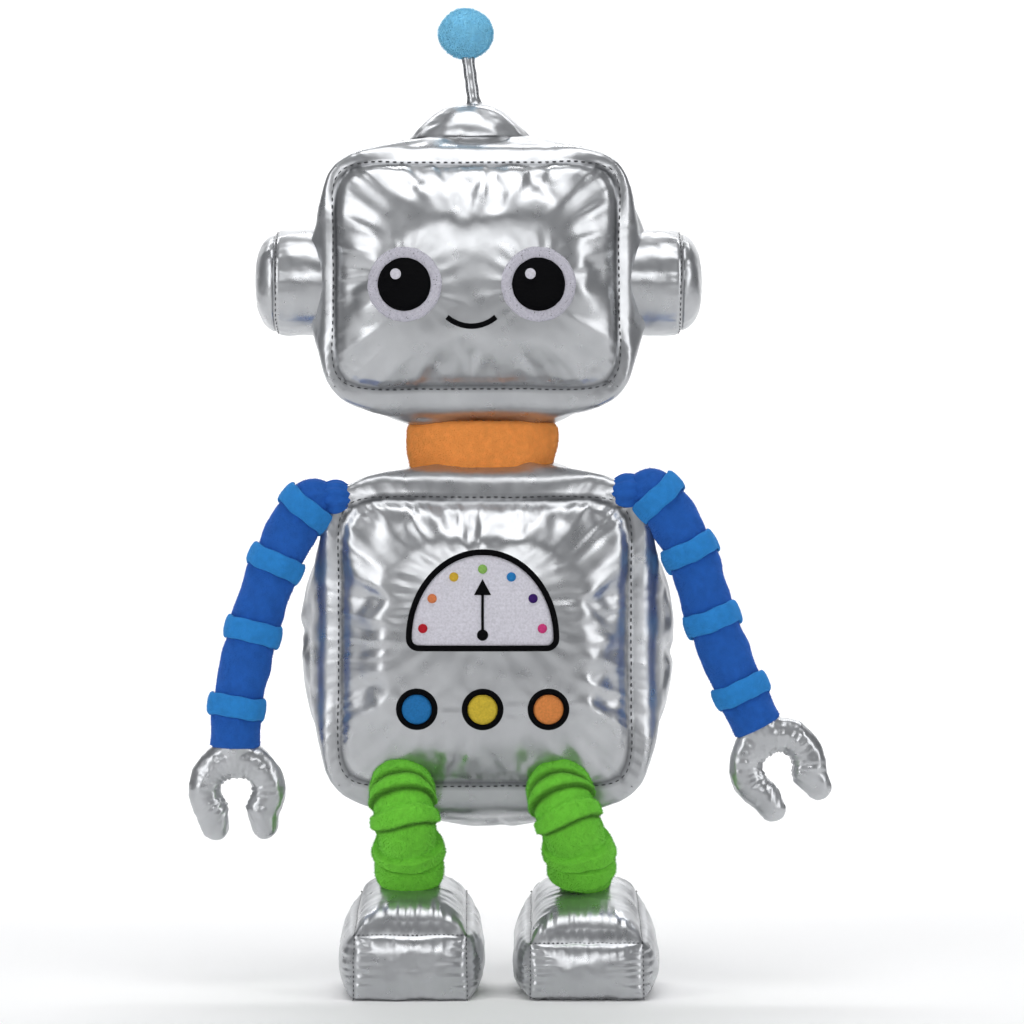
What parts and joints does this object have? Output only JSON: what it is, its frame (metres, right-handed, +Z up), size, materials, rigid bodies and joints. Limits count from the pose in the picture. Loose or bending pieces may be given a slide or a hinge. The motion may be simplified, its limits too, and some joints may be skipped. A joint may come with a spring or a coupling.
{
  "type": "plush toy robot",
  "caption": "Standing plush toy robot with a boxy stuffed head and body, drum ears, a ball-tipped antenna, banded arms with claw hands, rolled legs and boxy feet.",
  "frame": {"origin": "centre of the bounding box on the floor, under the soles", "axes": "+Z up, the robot faces -Y, its own left side is +X"},
  "size_m": [0.3302, 0.1168, 0.508],
  "materials": {
    "silver_foil": "metallic foil-coated woven polyester, satin gloss, puckered at its seams",
    "stuffing": "loose polyester fibre, never seen",
    "pellets": "plastic pellets in a bag mixed with fibre, never seen",
    "light_blue_pile": "short soft pile",
    "orange_pile": "short soft pile",
    "mid_blue_pile": "short soft pile",
    "deep_blue_pile": "short soft pile",
    "green_pile": "short soft pile",
    "pale_embroidery": "lavender-white satin stitch",
    "black_embroidery": "black satin stitch",
    "red_thread": "satin stitch",
    "orange_thread": "satin stitch",
    "yellow_thread": "satin stitch",
    "green_thread": "satin stitch",
    "blue_thread": "satin stitch",
    "purple_thread": "satin stitch",
    "pink_thread": "satin stitch"
  },
  "bodies": {
    "torso": {"torso_front_panel": "silver_foil", "torso_gusset": "silver_foil", "torso_back_panel": "silver_foil", "torso_stuffing": "stuffing", "gauge_field": "pale_embroidery", "gauge_border": "black_embroidery", "gauge_needle": "black_embroidery", "gauge_dot_red": "red_thread", "gauge_dot_orange": "orange_thread", "gauge_dot_yellow": "yellow_thread", "gauge_dot_green": "green_thread", "gauge_dot_blue": "blue_thread", "gauge_dot_purple": "purple_thread", "gauge_dot_pink": "pink_thread", "button_blue": "blue_thread", "button_ring_blue": "black_embroidery", "button_yellow": "yellow_thread", "button_ring_yellow": "black_embroidery", "button_orange": "orange_thread", "button_ring_orange": "black_embroidery"},
    "neck": {"neck_collar": "orange_pile"},
    "head": {"head_front_panel": "silver_foil", "head_gusset": "silver_foil", "head_back_panel": "silver_foil", "head_stuffing": "stuffing", "eye_white_right": "pale_embroidery", "eye_pupil_right": "black_embroidery", "eye_white_left": "pale_embroidery", "eye_pupil_left": "black_embroidery", "mouth": "black_embroidery", "antenna_dome": "silver_foil", "ear_band_right": "silver_foil", "ear_cap_right": "silver_foil", "ear_band_left": "silver_foil", "ear_cap_left": "silver_foil"},
    "antenna": {"antenna_stalk": "silver_foil", "antenna_ball": "light_blue_pile"},
    "shoulder_right": {"shoulder_cap_right": "deep_blue_pile"},
    "upper_arm_right": {"upper_sleeve_right": "deep_blue_pile", "sleeve_band_right_1": "mid_blue_pile", "sleeve_band_right_2": "mid_blue_pile"},
    "forearm_right": {"lower_sleeve_right": "deep_blue_pile", "sleeve_band_right_3": "mid_blue_pile", "sleeve_band_right_4": "mid_blue_pile"},
    "hand_right": {"claw_right": "silver_foil"},
    "lower_leg_right": {"leg_right": "green_pile"},
    "foot_right": {"foot_shell_right": "silver_foil", "foot_pellets_right": "pellets"},
    "shoulder_left": {"shoulder_cap_left": "deep_blue_pile"},
    "upper_arm_left": {"upper_sleeve_left": "deep_blue_pile", "sleeve_band_left_1": "mid_blue_pile", "sleeve_band_left_2": "mid_blue_pile"},
    "forearm_left": {"lower_sleeve_left": "deep_blue_pile", "sleeve_band_left_3": "mid_blue_pile", "sleeve_band_left_4": "mid_blue_pile"},
    "hand_left": {"claw_left": "silver_foil"},
    "lower_leg_left": {"leg_left": "green_pile"},
    "foot_left": {"foot_shell_left": "silver_foil", "foot_pellets_left": "pellets"}
  },
  "joints": [
    {"name": "neck_nod", "type": "hinge", "parent": "torso", "child": "neck", "pos_m": [-0.0157, 0.0064, 0.2625], "axis": [1, 0, 0], "range_deg": [-10, 13]},
    {"name": "head_turn", "type": "hinge", "parent": "neck", "child": "head", "pos_m": [-0.0157, 0.0064, 0.293], "axis": [0, 0, 1], "range_deg": [-35, 35]},
    {"name": "antenna_sway", "type": "hinge", "parent": "head", "child": "antenna", "pos_m": [-0.0195, 0.0064, 0.45772], "axis": [0, 1, 0], "range_deg": [-30, 30]},
    {"name": "shoulder_swing_right", "type": "hinge", "parent": "torso", "child": "shoulder_right", "pos_m": [-0.0912, -0.0206, 0.2531], "axis": [-1, 0, 0], "range_deg": [-45, 100]},
    {"name": "shoulder_lift_right", "type": "hinge", "parent": "shoulder_right", "child": "upper_arm_right", "pos_m": [-0.0912, -0.0206, 0.2531], "axis": [0, 1, 0], "range_deg": [0, 50]},
    {"name": "elbow_bend_right", "type": "hinge", "parent": "upper_arm_right", "child": "forearm_right", "pos_m": [-0.12708, -0.0206, 0.20397], "axis": [-1, 0, 0], "range_deg": [0, 60]},
    {"name": "wrist_bend_right", "type": "hinge", "parent": "forearm_right", "child": "hand_right", "pos_m": [-0.14229, -0.0206, 0.12538], "axis": [0, 1, 0], "range_deg": [-20, 20]},
    {"name": "hip_swing_right", "type": "hinge", "parent": "torso", "child": "lower_leg_right", "pos_m": [-0.0539, -0.0356, 0.104], "axis": [-1, 0, 0], "range_deg": [0, 80]},
    {"name": "ankle_bend_right", "type": "hinge", "parent": "lower_leg_right", "child": "foot_right", "pos_m": [-0.0509, -0.0226, 0.0615], "axis": [-1, 0, 0], "range_deg": [-12, 12]},
    {"name": "shoulder_swing_left", "type": "hinge", "parent": "torso", "child": "shoulder_left", "pos_m": [0.0597, -0.0206, 0.2565], "axis": [-1, 0, 0], "range_deg": [-45, 100]},
    {"name": "shoulder_lift_left", "type": "hinge", "parent": "shoulder_left", "child": "upper_arm_left", "pos_m": [0.0597, -0.0206, 0.2565], "axis": [0, -1, 0], "range_deg": [0, 50]},
    {"name": "elbow_bend_left", "type": "hinge", "parent": "upper_arm_left", "child": "forearm_left", "pos_m": [0.09689, -0.0206, 0.21015], "axis": [-1, 0, 0], "range_deg": [0, 60]},
    {"name": "wrist_bend_left", "type": "hinge", "parent": "forearm_left", "child": "hand_left", "pos_m": [0.12686, -0.0206, 0.13565], "axis": [0, -1, 0], "range_deg": [-20, 20]},
    {"name": "hip_swing_left", "type": "hinge", "parent": "torso", "child": "lower_leg_left", "pos_m": [0.0265, -0.0356, 0.104], "axis": [-1, 0, 0], "range_deg": [0, 80]},
    {"name": "ankle_bend_left", "type": "hinge", "parent": "lower_leg_left", "child": "foot_left", "pos_m": [0.0363, -0.0226, 0.0615], "axis": [-1, 0, 0], "range_deg": [-12, 12]}
  ]
}
